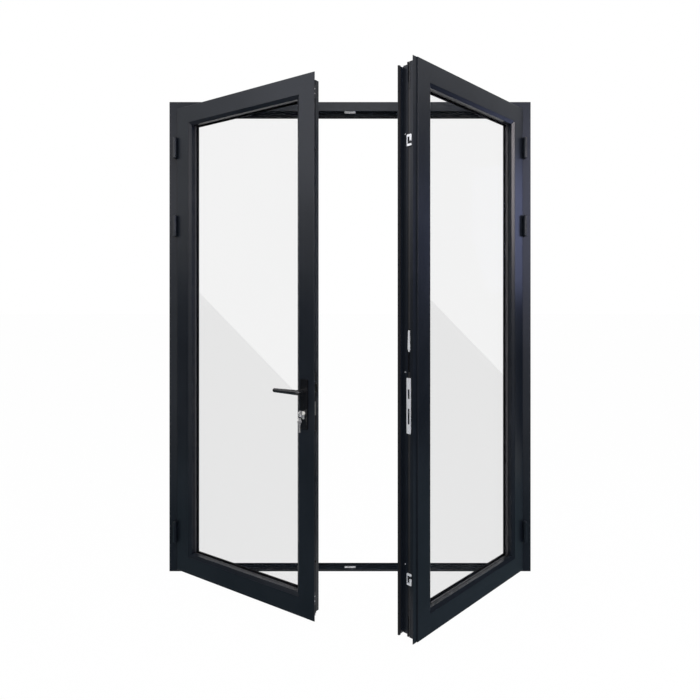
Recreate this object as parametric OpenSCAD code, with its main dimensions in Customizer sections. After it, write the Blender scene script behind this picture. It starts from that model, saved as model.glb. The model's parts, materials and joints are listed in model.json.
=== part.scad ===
// Outward opening aluminium french doors in their own frame, standing open.
// X runs along the wall, -Y is the side that the leaves open to, and Z is up.
// The origin is the middle of the frame's underside.

/* [Frame] */
// Overall width of the frame
frame_w = 1690; // [1400:10:2200]
// Overall height of the frame
frame_h = 2195; // [2000:5:2500]
// Depth of the frame through the wall
frame_d = 65; // [64:1:80]
// Width of the frame's box, up to the rebate
frame_face = 42; // [40:1:60]
// Height of the stop lip above the rebate
stop_lip = 17; // [15:1:22]
// Depth of the stop lip at the back of the frame
lip_d = 14; // [10:1:14]
// Wall of the extruded profiles
wall = 2; // [1.6:0.1:2.4]
// Height of the threshold between its ribs
threshold_h = 10; // [9:0.5:11]
// Diameter of the fixing holes in the jambs
fixing_d = 10; // [6:0.5:12]

/* [Leaves] */
// Gap between the two leaves' faces when shut
leaf_gap = 11; // [8:1:14]
// Overlap of a leaf's flange on the frame's face
lap = 7; // [6:0.5:9]
// Clear space between a leaf's edge and the rebate
chamber = 12; // [12:0.5:14]
// How far a leaf's face stands in front of the frame's face
leaf_proud = 7; // [7:0.5:9]
// Gap under a leaf's flange
floor_gap = 12; // [11:0.5:16]
// Width of a leaf's hollow box from its flange edge to the glazing platform
sash_w = 72; // [72:1:90]
// Height of the glazing rebate above its platform
rebate_h = 18; // [16:1:22]
// Angle that the active leaf stands open
active_open = 33.8; // [20:0.1:120]
// Angle that the passive leaf stands open
passive_open = 46.7; // [20:0.1:120]

/* [Glazing] */
// Thickness of each pane
pane_t = 5; // [4:0.5:6]
// Air space between the panes
pane_gap = 12; // [9:0.5:14]

/* [Hinges] */
// Height of a hinge
hinge_h = 94; // [80:1:120]
// Diameter of the hinge barrel
knuckle_d = 18; // [16:0.5:20]
// Diameter of the hinge pin
pin_d = 7; // [6:0.5:9]
// Distance of the pin from the frame's outer edge
pin_inset = 31; // [29:0.5:32]
// Middle of the top hinge, below the frame's top
hinge_top = 218; // [180:1:300]
// Middle of the second hinge, below the frame's top
hinge_second = 581; // [480:1:800]
// Middle of the bottom hinge, above the floor
hinge_bottom = 190; // [160:1:300]

/* [Lock] */
// Height of the lever's spindle above the floor
handle_h = 908; // [880:5:1010]
// Spindle to cylinder distance
cylinder_drop = 85; // [85:1:95]
// Spindle to the leaf's edge
backset = 27; // [26:0.5:30]
// Width of a handle plate
plate_w = 34; // [30:0.5:34]
// Height of a handle plate
plate_h = 197; // [190:1:220]
// Thickness of a handle plate
plate_t = 9; // [7:0.5:10]
// Length of a lever from its spindle
lever_len = 124; // [100:1:140]
// Diameter of a lever at its neck
lever_d = 21; // [18:0.5:21]
// Distance of a lever's axis from the leaf's face
lever_reach = 48; // [46:1:60]
// Side of the square spindle
spindle_a = 8; // [7:0.5:9]
// Stroke of the lock rods
rod_stroke = 16; // [10:0.5:16]
// Height of the upper lock roller above the floor
upper_roller = 1862; // [1700:1:1900]
// Height of the lower lock roller above the floor
lower_roller = 234; // [220:1:320]

/* [Meeting edge] */
// How far the meeting lip laps behind the active leaf
lip_over = 13; // [7:0.5:13]
// Height of the strike plate
strike_h = 205; // [190:1:220]
// Length of the finger lever
finger_len = 76; // [70:1:82]
// Height of the finger lever's pivot above the spindle
finger_rise = 172; // [172:1:220]
// Stroke of the passive leaf's bolts
bolt_stroke = 24; // [20:0.5:24]
// Diameter of the bolts' tips
bolt_d = 7; // [6:0.5:7]

/* [Hidden] */
$fn = 48;
coat = [0.16, 0.165, 0.175];
rubber = [0.06, 0.06, 0.06];
metal = [0.72, 0.73, 0.74];
// Clearance between sliding pieces, and between shut leaves and the frame
slide = 0.3;
// Running clearance on a diameter
running = 0.1;
// Room that a shut leaf leaves for a seal's lip
seal_room = 0.4;
// A cut's reach past the surface that it opens
over = 1;
// Screw holes, round edges of the profiles, corners of small plates and legs of the corner cleats
screw_d = 4.2;
edge_r = 1.5;
corner_r = 3;
cleat_leg = 60;
// Fixing holes: above the frame's bottom, below its top, and their pitch
fixing_low = 250;
fixing_high = 145;
fixing_pitch = 600;
fixing_z = [fixing_low, fixing_low + fixing_pitch, frame_h - fixing_high - fixing_pitch,
    frame_h - fixing_high];
// Depth left for the stop seal behind a shut leaf
seal_depth = 4;
// Hardware groove: middle behind the leaf's face, mouth, inner width, lip and full depth
groove_v = 27;
mouth = 12;
groove_in = 20;
groove_lip = 2.5;
groove_deep = 8;
// Leaf
flange = lap + chamber;
flange_t = 4;
margin = frame_face - lap;
leaf_w = frame_w / 2 - margin - leaf_gap / 2;
leaf_h = frame_h - margin - floor_gap;
leaf_top = floor_gap + leaf_h;
lip_q = frame_d - lip_d;
leaf_d = leaf_proud + lip_q - seal_depth;
face_y = -frame_d / 2 - leaf_proud;
sight = sash_w + rebate_h;
nib = 4;
body_low = floor_gap + flange;
body_top = leaf_top - flange;
// Glazing, from the fixed rear upstand forwards
gasket_t = 3;
gasket_w = 5;
pane_edge = 3;
glass_back = leaf_d - wall - gasket_t;
glass_front = glass_back - 2 * pane_t - pane_gap;
bead_back = glass_front - gasket_t;
bead_slope = 8;
spacer_w = 8;
// Hinges
pin_front = knuckle_d / 2 + seal_room;
pin_out = margin - pin_inset;
pin_y = face_y - pin_front;
knuckle_leaf = hinge_h / 3;
arm_t = 2.4;
arm_v = flange_t + slide;
hinge_z = [hinge_bottom, frame_h - hinge_second, frame_h - hinge_top];
// Lock, measured from the leaf's free flange edge inwards
spindle_e = flange + backset;
cylinder_h = handle_h - cylinder_drop;
face_t = 3;
face_w = 20;
case_t = 15;
case_behind = 20;
case_back = spindle_e + case_behind;
case_over = 60;
case_under = 65;
case_top = handle_h + case_over;
case_low = cylinder_h - case_under;
face_reach = 15;
hub_d = 18;
neck_step = 1;
neck_d = lever_d - neck_step;
lever_taper = 4;
cam_r = 15;
cam_t = 9;
euro_d = 17;
euro_leg = 10;
euro_h = 33;
plug_d = 13;
rosette_w = 24;
rosette_rim = 6;
rosette_t = 5;
plate_rise = 47;
latch_rise = 13;
latch_mid = handle_h + latch_rise;
latch_h = 32;
latch_t = 7.6;
latch_out = 15;
latch_bevel = 38;
latch_body = 6;
latch_tail = 4;
dead_rise = 16;
dead_mid = cylinder_h + dead_rise;
dead_h = 54;
rod_t = groove_deep - groove_lip - 2 * slide;
rod_w = groove_in - 2 * slide;
rod_e = flange + groove_lip + slide;
tongue_w = 8;
tongue_len = 14;
rod_tail = 100;
roller_d = 9.6;
roller_t = 6.5;
roller_stem = 6;
// Key
key_t = 2.5;
bow_d = 24;
bow_hole = 7;
bow_neck = 7;
bow_step = 4;
notch_pitch = 4.6;
notch_a = 2.4;
blade_h = 8;
blade_t = 2;
blade_len = 28;
ring_r = 8.5;
ring_wire = 1.6;
plug_proud = 3;
plug_lip = 1;
plug_front = -plate_t - plug_proud;
plug_back = leaf_d + rosette_t + plug_proud;
bow_v = plug_front - bow_step - bow_d / 2;
hole_off = 6;
ring_top = cylinder_h - bow_hole / 2 + ring_wire / 2 + running;
ring_low = ring_top - 2 * ring_r;
spare_hole = ring_low + ring_wire / 2 + running - bow_hole / 2;
// Meeting profile, measured from the passive leaf's flange edge inwards
meet_e = -leaf_gap - lap;
meet_end = -leaf_gap - flange - lip_over;
strip_t = leaf_proud - flange_t - 2 * seal_room;
strip_v = flange_t + seal_room;
meet_lip_t = 2.4;
meet_lip_back = 9;
meet_low_room = 3;
meet_top_room = 10;
meet_lip_end = flange + meet_lip_back;
strip_over = 5;
rear_cut = 9;
rear_low = body_low + rear_cut;
rear_top = body_top - rear_cut;
step_v = groove_v + mouth / 2;
meet_lip_low = body_low + meet_low_room;
meet_lip_top = body_top - meet_top_room;
cap_t = 3;
strike_t = 2.5;
strike_w = 19;
keep_t = 4;
keep_h = 43;
keep_w = 21;
keep_shift = 3;
keep_mid = groove_v - keep_shift;
keep_room = 0.5;
bolt_e = meet_e + groove_deep / 2;
finger_t = 5;
finger_w = 11;
finger_tip = 7;
finger_pin = 3;
finger_hub = 8;
finger_neck = 6.8;
ear_r = 2.4;
finger_h = handle_h + finger_rise;
finger_proud = 2;
finger_room = 3;
finger_cover = 4;
finger_e = meet_e + finger_t - finger_proud;
finger_low = finger_h - finger_len - finger_room;
finger_top = finger_h + finger_len + finger_room;
finger_end = bolt_stroke + finger_cover;
finger_tongue = 2.4;
bolt_keep_w = 51;
bolt_keep_t = 3;
bolt_keep_screw = 20;
bolt_room = 1;
bolt_hole = bolt_d + 2 * bolt_room;
rib_h = 2;
rib_w = 3;
front_rib = 6;
rear_rib = 30;
upstand_h = 7;
upstand_w = 4;
brush_w = 6;

// A box between two corners
module span(a, b) {
    translate(a) cube(b - a);
}

// A round bar along Y between two depths
module bar_v(d, v0, v1) {
    translate([0, v0, 0]) rotate([-90, 0, 0]) cylinder(d = d, h = v1 - v0);
}

// A round bar along X between two places
module bar_e(d, e0, e1) {
    translate([e0, 0, 0]) rotate([0, 90, 0]) cylinder(d = d, h = e1 - e0);
}

// A flat outline in X and Z, given depth along Y
module upright(v0, v1) {
    translate([0, v1, 0]) rotate([90, 0, 0]) linear_extrude(v1 - v0) children();
}

// A rectangle with round corners
module round_rect(w, h, r) {
    translate([r, 0]) square([w - 2 * r, h]);
    translate([0, r]) square([w, h - 2 * r]);
    for (x = [r, w - r], y = [r, h - r]) translate([x, y]) circle(r = r);
}

// A rectangular loop round a leaf, set in from its flange edge
module leaf_loop(outer, inner, v0, v1) {
    difference() {
        span([outer, v0, floor_gap + outer], [leaf_w - outer, v1, leaf_top - outer]);
        span([inner, v0 - over, floor_gap + inner], [leaf_w - inner, v1 + over, leaf_top - inner]);
    }
}

// Leaf coordinates run inwards from the hinge edge and back from the face
module on_active() {
    translate([-frame_w / 2 + pin_inset, pin_y, 0]) rotate([0, 0, -active_open])
        translate([pin_out, pin_front, 0]) children();
}

module on_passive() {
    mirror([1, 0, 0]) translate([-frame_w / 2 + pin_inset, pin_y, 0]) rotate([0, 0, -passive_open])
        translate([pin_out, pin_front, 0]) children();
}

// Edge coordinates run inwards from the leaf's free flange edge
module on_edge() {
    translate([leaf_w, 0, 0]) mirror([1, 0, 0]) children();
}

// Round-off of a profile's front corner
module edge_cut() {
    translate([-over, -over]) difference() {
        square(edge_r + over);
        translate([edge_r + over, edge_r + over]) circle(r = edge_r);
    }
}

// Frame profile: box, hardware groove in the rebate and stop lip, all hollow
module frame_section() {
    groove_q = groove_v - leaf_proud;
    floor_s = frame_face - groove_deep;
    difference() {
        union() {
            square([frame_face, frame_d]);
            translate([0, lip_q]) square([frame_face + stop_lip, lip_d]);
        }
        translate([floor_s, groove_q - mouth / 2]) square([groove_deep + over, mouth]);
        translate([floor_s, groove_q - groove_in / 2]) square([groove_deep - groove_lip, groove_in]);
        translate([wall, wall]) square([floor_s - 2 * wall, frame_d - 2 * wall]);
        translate([floor_s, lip_q + wall])
            square([groove_deep + stop_lip - wall, lip_d - 2 * wall]);
        edge_cut();
    }
}

// Leaf profile: flange, hollow box with hardware groove, glazing platform and rear upstand
module sash_section() {
    floor_u = flange + groove_deep;
    difference() {
        union() {
            square([sash_w + nib, wall]);
            square([wall, flange_t]);
            translate([flange, 0]) square([sash_w - flange, leaf_d]);
            translate([flange, leaf_d - wall]) square([sight - flange, wall]);
        }
        translate([flange - over, groove_v - mouth / 2]) square([groove_deep + over, mouth]);
        translate([flange + groove_lip, groove_v - groove_in / 2])
            square([groove_deep - groove_lip, groove_in]);
        translate([floor_u + wall, wall]) square([sash_w - floor_u - 2 * wall, leaf_d - 2 * wall]);
        edge_cut();
    }
}

// Hollow clip-in glazing bead with a sloped front
module bead_section() {
    front = wall + slide;
    u0 = sash_w + nib + slide;
    difference() {
        polygon([[sash_w, front], [u0, front], [u0, over], [sight, over + bead_slope],
            [sight, bead_back], [sash_w, bead_back]]);
        polygon([[sash_w + wall, front + wall], [u0 + wall, front + wall],
            [sight - wall, over + bead_slope + wall], [sight - wall, bead_back - wall],
            [sash_w + wall, bead_back - wall]]);
    }
}

// An upright of a leaf at the hinge edge, mitred at both ends
module leaf_upright(reach) {
    intersection() {
        translate([0, 0, floor_gap]) linear_extrude(leaf_h) children();
        upright(-over, leaf_d + over)
            polygon([[0, floor_gap], [reach, floor_gap + reach], [reach, leaf_top - reach], [0, leaf_top]]);
    }
}

// The top member of a leaf, mitred at both ends
module leaf_top_bar(reach) {
    intersection() {
        translate([0, 0, leaf_top]) rotate([0, 90, 0]) linear_extrude(leaf_w) children();
        upright(-over, leaf_d + over)
            polygon([[0, leaf_top], [leaf_w, leaf_top], [leaf_w - reach, leaf_top - reach],
                [reach, leaf_top - reach]]);
    }
}

// The same bar turned over for the bottom of the leaf
module to_bottom() {
    translate([0, 0, leaf_top + floor_gap]) mirror([0, 0, 1]) children();
}

module leaf_beads() {
    leaf_upright(sight) bead_section();
    on_edge() leaf_upright(sight) bead_section();
    leaf_top_bar(sight) bead_section();
    to_bottom() leaf_top_bar(sight) bead_section();
}

module leaf_panes() {
    edge = sash_w + pane_edge;
    for (v = [glass_front, glass_back - pane_t])
        span([edge, v, floor_gap + edge], [leaf_w - edge, v + pane_t, leaf_top - edge]);
}

module leaf_spacer() {
    edge = sash_w + pane_edge + slide;
    leaf_loop(edge, edge + spacer_w, glass_front + pane_t, glass_back - pane_t);
}

module leaf_glazing_seals() {
    inner = sight - slide;
    leaf_loop(inner - gasket_w, inner, bead_back, glass_front);
    leaf_loop(inner - gasket_w, inner, glass_back, glass_back + gasket_t);
}

// Seal behind the flange on the hinge edge, top and bottom, notched at the hinges
module leaf_overlap_seal() {
    past = 1;
    outer = wall;
    inner = lap + past;
    back = leaf_proud - seal_room;
    difference() {
        leaf_loop(outer, inner, wall, back);
        span([leaf_w - flange, 0, 0], [leaf_w, leaf_proud, frame_h]);
        for (z = hinge_z)
            span([0, 0, z - hinge_h / 2 - slide], [inner + over, leaf_proud, z + hinge_h / 2 + slide]);
    }
}

module leaf_brush() {
    v = rear_rib + leaf_proud;
    span([flange + over, v - brush_w / 2, threshold_h + rib_h + seal_room],
        [leaf_w - flange - over, v + brush_w / 2, body_low]);
}

// Corner cleats that join the hollow members of a leaf
module leaf_cleats() {
    near = flange + groove_deep + wall + slide;
    far = sash_w - wall - slide;
    reach = far + cleat_leg;
    module corner() {
        upright(wall + slide, leaf_d - wall - slide)
            polygon([[near, leaf_top - near], [reach, leaf_top - near], [reach, leaf_top - far],
                [far, leaf_top - far], [far, leaf_top - reach], [near, leaf_top - reach]]);
    }
    corner();
    on_edge() corner();
    to_bottom() corner();
    to_bottom() on_edge() corner();
}

// One third of a hinge barrel about the pin, in leaf coordinates
module knuckle(z0, z1) {
    translate([-pin_out, -pin_front, z0]) cylinder(d = knuckle_d, h = z1 - z0);
}

module pin_bore() {
    translate([-pin_out, -pin_front, -over]) cylinder(d = pin_d + running, h = frame_h);
}

// Leaf half of a hinge: middle barrel, arm behind the flange and plate on the leaf's edge
module leaf_hinges() {
    half = knuckle_leaf / 2 - slide;
    plate_back = groove_v + mouth;
    difference() {
        for (z = hinge_z) {
            knuckle(z - half, z + half);
            span([-pin_out + over, -pin_front + over, z - half], [-seal_room, arm_v + arm_t, z + half]);
            span([-pin_out + over, arm_v, z - half], [flange, arm_v + arm_t, z + half]);
            span([flange - arm_t, arm_v, z - hinge_h / 2], [flange, plate_back, z + hinge_h / 2]);
        }
        pin_bore();
    }
}

// Frame half of a hinge: outer barrels, feet on the frame's face and plate in the rebate
module frame_hinges() {
    half = knuckle_leaf / 2;
    plate_back = groove_v + mouth;
    foot = knuckle_d / 3;
    difference() {
        for (z = hinge_z) {
            for (s = [[z - hinge_h / 2, z - half], [z + half, z + hinge_h / 2]]) {
                knuckle(s[0], s[1]);
                span([-pin_out - foot, -pin_front, s[0]], [-slide - over, leaf_proud, s[1]]);
                span([-pin_out, arm_v, s[0]], [lap + arm_t, leaf_proud, s[1]]);
            }
            span([lap, leaf_proud, z - hinge_h / 2], [lap + arm_t, plate_back, z + hinge_h / 2]);
        }
        pin_bore();
    }
}

module hinge_pin_set() {
    cap_step = 1;
    cap_d = knuckle_d - 2 * cap_step;
    for (z = hinge_z) translate([-pin_out, -pin_front, z - hinge_h / 2]) {
        cylinder(d = pin_d, h = hinge_h);
        translate([0, 0, hinge_h]) cylinder(d1 = cap_d, d2 = pin_d, h = cap_t);
        translate([0, 0, -cap_t]) cylinder(d1 = pin_d, d2 = cap_d, h = cap_t);
    }
}

// The shut leaf's place on the left of the frame, where the frame's hinge halves stay
module on_left() {
    translate([-frame_w / 2 + margin, face_y, 0]) children();
}

module jamb() {
    reach = frame_face + stop_lip;
    fixing_q = (groove_v - leaf_proud + groove_in / 2 + lip_q) / 2;
    difference() {
        intersection() {
            translate([-frame_w / 2, -frame_d / 2, 0]) linear_extrude(frame_h) frame_section();
            translate([-frame_w / 2, 0, 0]) upright(-frame_d, frame_d)
                polygon([[0, 0], [reach, 0], [reach, frame_h - reach], [0, frame_h]]);
        }
        for (z = fixing_z)
            translate([-frame_w / 2, fixing_q - frame_d / 2, z])
                bar_e(fixing_d, -over, frame_face + over);
    }
}

module left_jamb() { color(coat) jamb(); }

module right_jamb() { color(coat) mirror([1, 0, 0]) jamb(); }

module frame_head() {
    reach = frame_face + stop_lip;
    bolt_x = leaf_gap / 2 + bolt_e;
    color(coat) difference() {
        intersection() {
            translate([-frame_w / 2, -frame_d / 2, frame_h]) rotate([0, 90, 0])
                linear_extrude(frame_w) frame_section();
            translate([-frame_w / 2, 0, 0]) upright(-frame_d, frame_d)
                polygon([[0, frame_h], [frame_w, frame_h], [frame_w - reach, frame_h - reach],
                    [reach, frame_h - reach]]);
        }
        translate([bolt_x, face_y + groove_v, frame_h - frame_face])
            cylinder(d = bolt_hole, h = groove_deep + wall + over);
    }
}

// Low threshold with ribs, a rear upstand and hollow chambers
module threshold() {
    half = frame_w / 2 - frame_face;
    reach = half - stop_lip;
    bolt_x = leaf_gap / 2 + bolt_e;
    color(coat) difference() {
        translate([-half, -frame_d / 2, 0]) union() {
            difference() {
                cube([2 * half, frame_d, threshold_h]);
                for (q = [wall, rear_rib + rib_w])
                    translate([-over, q, wall])
                        cube([2 * half + 2 * over, frame_d / 2 - 4 * wall, threshold_h - 2 * wall]);
            }
            translate([0, front_rib - rib_w / 2, threshold_h]) cube([2 * half, rib_w, rib_h]);
            translate([0, rear_rib - rib_w / 2, threshold_h]) cube([2 * half, rib_w, rib_h]);
            translate([0, lip_q - upstand_w, threshold_h]) cube([2 * half, upstand_w, upstand_h]);
        }
        for (s = [-1, 1])
            translate([s * (reach + half) / 2 - (half - reach) / 2, lip_q - frame_d / 2, -over])
                cube([half - reach, lip_d + over, threshold_h + upstand_h + 2 * over]);
        translate([bolt_x, face_y + groove_v, wall]) cylinder(d = bolt_hole, h = threshold_h);
    }
}

// Three-sided seal on the front of the stop lip
module stop_seal() {
    outer = frame_w / 2 - frame_face - chamber + over;
    inner = frame_w / 2 - frame_face - stop_lip + over;
    top = frame_h - frame_face - chamber + over;
    low = threshold_h + upstand_h + slide;
    y1 = -frame_d / 2 + lip_q;
    y0 = y1 - seal_depth + seal_room;
    color(rubber) difference() {
        span([-outer, y0, low], [outer, y1, top]);
        span([-inner, y0 - over, low - over], [inner, y1 + over, top - (outer - inner)]);
    }
}

// Corner cleats inside the two upper corners of the frame
module frame_cleats() {
    near = wall + slide;
    far = frame_face - groove_deep - wall - slide;
    reach = far + cleat_leg;
    module corner() {
        translate([-frame_w / 2, 0, 0])
            upright(-frame_d / 2 + wall + slide, frame_d / 2 - wall - slide)
                polygon([[near, frame_h - near], [reach, frame_h - near], [reach, frame_h - far],
                    [far, frame_h - far], [far, frame_h - reach], [near, frame_h - reach]]);
    }
    color(metal) {
        corner();
        mirror([1, 0, 0]) corner();
    }
}

module left_frame_hinges() { color(coat) on_left() frame_hinges(); }

module right_frame_hinges() { color(coat) mirror([1, 0, 0]) on_left() frame_hinges(); }

module hinge_pins() {
    color(coat) {
        on_left() hinge_pin_set();
        mirror([1, 0, 0]) on_left() hinge_pin_set();
    }
}

// Bolt keep screwed under the head's rebate
module head_keep() {
    keep_d = groove_in + 2 * over;
    color(metal) translate([0, face_y + groove_v, frame_h - frame_face - bolt_keep_t])
        difference() {
            translate([-bolt_keep_w / 2, -keep_d / 2, 0])
                linear_extrude(bolt_keep_t) round_rect(bolt_keep_w, keep_d, corner_r);
            translate([leaf_gap / 2 + bolt_e, 0, -over])
                cylinder(d = bolt_hole, h = bolt_keep_t + 2 * over);
            for (s = [-1, 1]) translate([s * bolt_keep_screw, 0, -over])
                cylinder(d = screw_d, h = bolt_keep_t + 2 * over);
        }
}

// Bolt keep between the threshold's ribs
module threshold_keep() {
    q0 = front_rib + rib_w / 2 + over;
    q1 = rear_rib - rib_w / 2 - over;
    color(metal) translate([0, -frame_d / 2, threshold_h]) difference() {
        translate([-bolt_keep_w / 2, q0, 0]) linear_extrude(rib_h) round_rect(bolt_keep_w, q1 - q0, corner_r);
        translate([leaf_gap / 2 + bolt_e, groove_v - leaf_proud, -over])
            cylinder(d = bolt_hole, h = rib_h + 2 * over);
        for (s = [-1, 1]) translate([s * bolt_keep_screw, (q0 + q1) / 2, -over])
            cylinder(d = screw_d, h = rib_h + 2 * over);
    }
}

module active_hinge_stile() { color(coat) on_active() leaf_upright(sight) sash_section(); }

// Lock stile with the lock's pocket and the holes for spindle and cylinder
module active_lock_stile() {
    color(coat) on_active() on_edge() difference() {
        leaf_upright(sight) sash_section();
        span([flange - over, groove_v - case_t / 2 - slide, case_low - slide],
            [flange + groove_deep + wall + over, groove_v + case_t / 2 + slide, case_top + slide]);
        translate([spindle_e, 0, handle_h]) bar_v(spindle_a * sqrt(2) + over, -over, groove_v);
        translate([spindle_e, 0, cylinder_h]) upright(-over, leaf_d + over) euro_outline(slide);
    }
}

module active_top_rail() { color(coat) on_active() leaf_top_bar(sight) sash_section(); }

module active_bottom_rail() { color(coat) on_active() to_bottom() leaf_top_bar(sight) sash_section(); }

module active_panes() { color([0.8, 0.85, 0.85, 0.3]) on_active() leaf_panes(); }

module active_spacer() { color(rubber) on_active() leaf_spacer(); }

module active_beads() { color(coat) on_active() leaf_beads(); }

module active_glazing_seals() { color(rubber) on_active() leaf_glazing_seals(); }

module active_overlap_seal() { color(rubber) on_active() leaf_overlap_seal(); }

module active_brush() { color(rubber) on_active() leaf_brush(); }

module active_cleats() { color(metal) on_active() leaf_cleats(); }

module active_hinges() { color(coat) on_active() leaf_hinges(); }

// Outline of a profile cylinder about its plug
module euro_outline(grow) {
    circle(d = euro_d + 2 * grow);
    translate([-euro_leg / 2 - grow, euro_d / 2 - euro_h + euro_leg / 2 - grow])
        square([euro_leg + 2 * grow, euro_h - euro_d / 2 - euro_leg / 2 + grow]);
    translate([0, euro_d / 2 - euro_h + euro_leg / 2]) circle(d = euro_leg + 2 * grow);
}

// Lock case with its ways for latch, deadbolt, rods, spindle hub and cylinder
module lock_case() {
    v0 = groove_v - case_t / 2;
    v1 = groove_v + case_t / 2;
    bolt_v = latch_t / 2 + slide;
    color(metal) on_active() on_edge() difference() {
        span([flange, v0, case_low], [case_back, v1, case_top]);
        translate([spindle_e, 0, handle_h]) bar_v(hub_d + running, v0 - over, v1 + over);
        translate([spindle_e, 0, cylinder_h]) upright(v0 - over, v1 + over) euro_outline(0);
        translate([spindle_e, 0, cylinder_h])
            bar_v(2 * cam_r + 2 * slide, groove_v - cam_t / 2 - slide, groove_v + cam_t / 2 + slide);
        span([flange - over, groove_v - bolt_v, latch_mid - latch_h / 2 - slide],
            [spindle_e - hub_d / 2 - over, groove_v + bolt_v, latch_mid + latch_h / 2 + slide]);
        span([flange - over, groove_v - bolt_v, latch_mid + latch_h / 8],
            [case_back - wall, groove_v + bolt_v, latch_mid + latch_h / 2 + slide]);
        span([flange - over, groove_v - bolt_v, dead_mid - dead_h / 2 - slide],
            [spindle_e - cam_r, groove_v + bolt_v, dead_mid + dead_h / 2 + slide]);
        span([flange - over, groove_v - bolt_v, cylinder_h + cam_r + over],
            [case_back - wall, groove_v + bolt_v, dead_mid + dead_h / 2 + slide]);
        for (z = [[case_low - over, case_low + tongue_len + rod_stroke + 2 * slide],
                [case_top - tongue_len - rod_stroke - 2 * slide, case_top + over]])
            span([rod_e - slide, groove_v - tongue_w / 2 - slide, z[0]],
                [rod_e + rod_t + slide, groove_v + tongue_w / 2 + slide, z[1]]);
    }
}

module lock_faceplate() {
    low = case_low - face_reach;
    tall = case_top - case_low + 2 * face_reach;
    bolt_v = latch_t / 2 + slide;
    color(metal) on_active() on_edge() difference() {
        translate([flange - face_t, groove_v - face_w / 2, low]) rotate([90, 0, 90])
            linear_extrude(face_t) round_rect(face_w, tall, corner_r);
        span([0, groove_v - bolt_v, latch_mid - latch_h / 2 - slide],
            [flange + over, groove_v + bolt_v, latch_mid + latch_h / 2 + slide]);
        span([0, groove_v - bolt_v, dead_mid - dead_h / 2 - slide],
            [flange + over, groove_v + bolt_v, dead_mid + dead_h / 2 + slide]);
        for (z = [low + face_reach / 2, low + tall - face_reach / 2])
            translate([0, groove_v, z]) bar_e(screw_d, 0, flange + over);
    }
}

// Profile cylinder, cut away at the middle for its cam
module cylinder_body() {
    color(metal) on_active() on_edge() translate([spindle_e, 0, cylinder_h]) difference() {
        upright(plug_front + plug_lip, plug_back - plug_lip) euro_outline(0);
        bar_v(plug_d + running, plug_front, plug_back);
        span([-euro_d, groove_v - cam_t / 2 - slide, -cam_r - slide],
            [euro_d, groove_v + cam_t / 2 + slide, euro_d]);
    }
}

// Handle plate with a stepped edge
module handle_plate() {
    step = 2;
    round_r = corner_r + step / 2;
    low = handle_h + plate_rise - plate_h;
    color(coat) on_active() on_edge() difference() {
        translate([spindle_e - plate_w / 2, 0, low]) {
            upright(-plate_t + step, 0) round_rect(plate_w, plate_h, round_r);
            translate([step / 2, 0, step / 2]) upright(-plate_t, -plate_t + step)
                round_rect(plate_w - step, plate_h - step, round_r);
        }
        translate([spindle_e, 0, handle_h]) bar_v(neck_d + 2 * slide, -plate_t - over, over);
        translate([spindle_e, 0, cylinder_h]) upright(-plate_t - over, over) euro_outline(slide);
    }
}

// Slim rosette round the cylinder on the back of the leaf
module rosette() {
    tall = euro_h + 2 * rosette_rim;
    color(coat) on_active() on_edge() translate([spindle_e, 0, cylinder_h]) difference() {
        translate([-rosette_w / 2, 0, euro_d / 2 + rosette_rim - tall])
            upright(leaf_d, leaf_d + rosette_t) round_rect(rosette_w, tall, rosette_w / 2 - over);
        upright(leaf_d - over, leaf_d + rosette_t + over) euro_outline(slide);
    }
}

// Lever with a round neck, an elbow and a tapering grip
module lever() {
    tip_d = lever_d - lever_taper;
    color(coat) on_active() on_edge() translate([spindle_e, 0, handle_h]) difference() {
        union() {
            bar_v(neck_d, -lever_reach, -slide);
            translate([0, -lever_reach, 0]) {
                sphere(d = lever_d);
                rotate([0, 90, 0]) cylinder(d1 = lever_d, d2 = tip_d, h = lever_len - tip_d / 2);
                translate([lever_len - tip_d / 2, 0, 0]) sphere(d = tip_d);
            }
        }
        span([-spindle_a / 2, -lever_reach + over, -spindle_a / 2], [spindle_a / 2, 0, spindle_a / 2]);
    }
}

// Square spindle with the lock's hub on it
module spindle() {
    end = lever_reach - over;
    color(metal) on_active() on_edge() translate([spindle_e, 0, handle_h]) {
        span([-spindle_a / 2, -end, -spindle_a / 2],
            [spindle_a / 2, groove_v + case_t / 2, spindle_a / 2]);
        bar_v(hub_d, groove_v - case_t / 2, groove_v + case_t / 2);
    }
}

// Latch with a bevelled nose and a tail above the hub
module latch_bolt() {
    nose = flange - face_t - latch_out;
    head = nose + latch_out + latch_body;
    tail = spindle_e + latch_tail;
    color(metal) on_active() on_edge() {
        difference() {
            span([nose, groove_v - latch_t / 2, latch_mid - latch_h / 2],
                [head, groove_v + latch_t / 2, latch_mid + latch_h / 2]);
            translate([nose, groove_v - latch_t / 2, 0]) rotate([0, 0, latch_bevel])
                translate([-latch_out, 0, 0]) cube([3 * latch_out, latch_out, frame_h]);
        }
        span([head - over, groove_v - latch_t / 2, latch_mid + latch_h / 8 + slide],
            [tail, groove_v + latch_t / 2, latch_mid + latch_h / 2]);
    }
}

// Deadbolt, drawn back, with a tail above the cylinder's cam
module deadbolt() {
    nose = flange - face_t;
    head = spindle_e - cam_r - over;
    tail = case_back - wall - slide;
    color(metal) on_active() on_edge() {
        span([nose, groove_v - latch_t / 2, dead_mid - dead_h / 2],
            [head, groove_v + latch_t / 2, dead_mid + dead_h / 2]);
        span([head - over, groove_v - latch_t / 2, cylinder_h + cam_r + over + slide],
            [tail, groove_v + latch_t / 2, dead_mid + dead_h / 2]);
    }
}

// A flat rod in a hardware groove with a tongue at one end
module groove_rod(e, tongue_t, z0, z1, tongue0, tongue1) {
    span([e, groove_v - rod_w / 2, z0], [e + rod_t, groove_v + rod_w / 2, z1]);
    span([e, groove_v - tongue_w / 2, tongue0], [e + tongue_t, groove_v + tongue_w / 2, tongue1]);
}

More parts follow.
